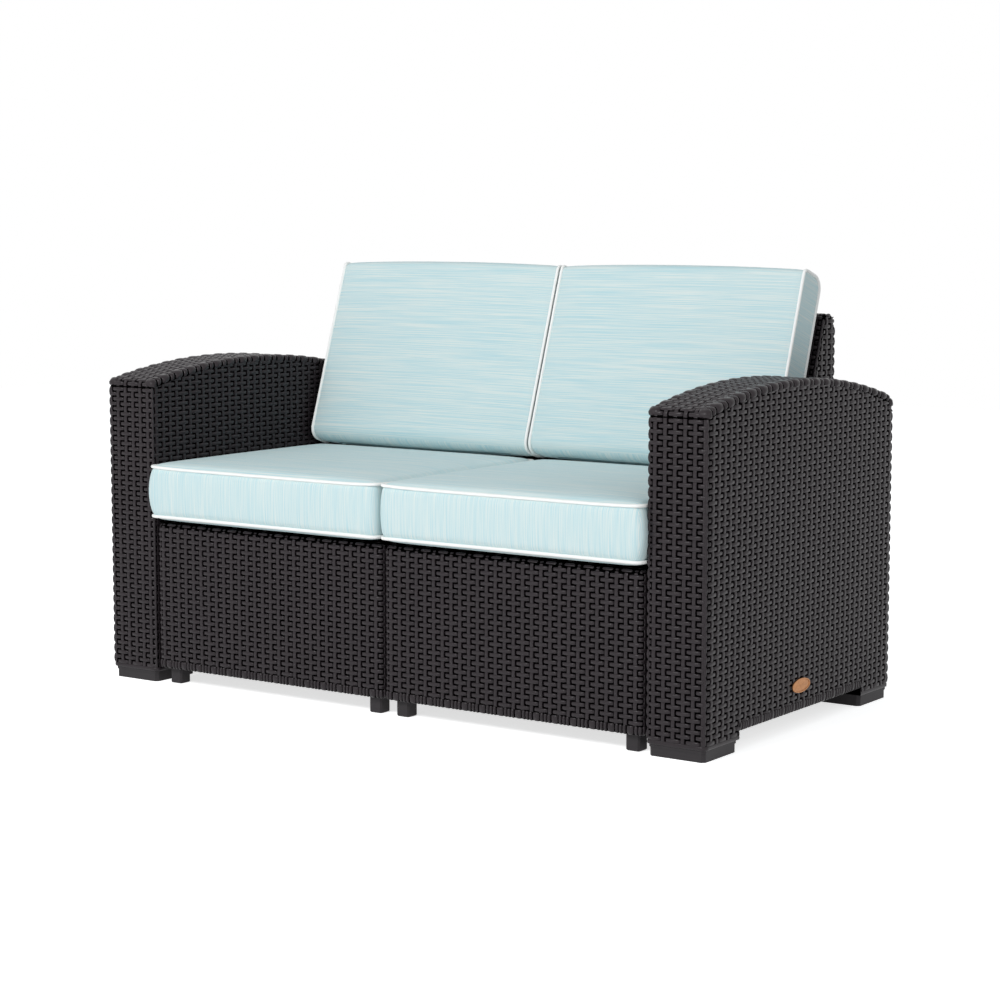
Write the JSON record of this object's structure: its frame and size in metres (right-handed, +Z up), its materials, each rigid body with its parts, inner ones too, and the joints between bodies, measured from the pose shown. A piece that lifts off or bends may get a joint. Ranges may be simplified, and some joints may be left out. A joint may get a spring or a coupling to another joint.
{
  "type": "patio loveseat",
  "caption": "Two-seat patio sofa in moulded wicker-look resin: arched box arms, seat modules with raked backs, loose boxed seat and back cushions with piping.",
  "frame": {"origin": "on the floor, under the middle of the whole sofa", "axes": "+X runs along the sofa, the front faces -Y, +Z is up"},
  "size_m": [1.42, 0.735, 0.8512],
  "materials": {
    "resin_weave": "moulded resin with a plain-weave wicker texture, semi-matt dark grey-brown",
    "resin_plain": "smooth moulded resin, semi-matt",
    "black_foot": "smooth black moulded foot plastic",
    "hidden_plastic": "plain moulded connector plastic",
    "cushion_cloth": "pale aqua outdoor cloth with fine lines",
    "foam": "soft cut polyurethane foam",
    "piping": "white corded piping",
    "zip_tape": "closed coil zip and tape"
  },
  "bodies": {
    "frame": {"arm_left_outer_shell": "resin_weave", "arm_left_inner_panel": "resin_weave", "arm_left_cap": "resin_weave", "arm_left_front_foot": "black_foot", "arm_left_rear_foot": "black_foot", "arm_left_keys": "hidden_plastic", "seat_left_skirt": "resin_weave", "seat_left_deck": "resin_plain", "seat_left_legs": "black_foot", "back_left_front_shell": "resin_weave", "back_left_rear_shell": "resin_weave", "back_left_keys": "hidden_plastic", "arm_right_outer_shell": "resin_weave", "arm_right_inner_panel": "resin_weave", "arm_right_cap": "resin_weave", "arm_right_front_foot": "black_foot", "arm_right_rear_foot": "black_foot", "arm_right_keys": "hidden_plastic", "seat_right_skirt": "resin_weave", "seat_right_deck": "resin_plain", "seat_right_legs": "black_foot", "back_right_front_shell": "resin_weave", "back_right_rear_shell": "resin_weave", "back_right_keys": "hidden_plastic", "module_clips": "hidden_plastic"},
    "seat_cushion_left": {"seat_cushion_left_cover": "cushion_cloth", "seat_cushion_left_foam": "foam", "seat_cushion_left_piping": "piping", "seat_cushion_left_zip": "zip_tape"},
    "back_cushion_left": {"back_cushion_left_cover": "cushion_cloth", "back_cushion_left_foam": "foam", "back_cushion_left_piping": "piping", "back_cushion_left_zip": "zip_tape"},
    "seat_cushion_right": {"seat_cushion_right_cover": "cushion_cloth", "seat_cushion_right_foam": "foam", "seat_cushion_right_piping": "piping", "seat_cushion_right_zip": "zip_tape"},
    "back_cushion_right": {"back_cushion_right_cover": "cushion_cloth", "back_cushion_right_foam": "foam", "back_cushion_right_piping": "piping", "back_cushion_right_zip": "zip_tape"}
  },
  "joints": [
    {"name": "seat_cushion_left_lift_off", "type": "slide", "parent": "frame", "child": "seat_cushion_left", "axis": [0, -0.9962, 0.0872], "range_m": [0, 0.58]},
    {"name": "back_cushion_left_lift_off", "type": "slide", "parent": "frame", "child": "back_cushion_left", "axis": [0, 0.3206, 0.9472], "range_m": [0, 0.4]},
    {"name": "seat_cushion_right_lift_off", "type": "slide", "parent": "frame", "child": "seat_cushion_right", "axis": [0, -0.9962, 0.0872], "range_m": [0, 0.58]},
    {"name": "back_cushion_right_lift_off", "type": "slide", "parent": "frame", "child": "back_cushion_right", "axis": [0, 0.3206, 0.9472], "range_m": [0, 0.4]}
  ]
}
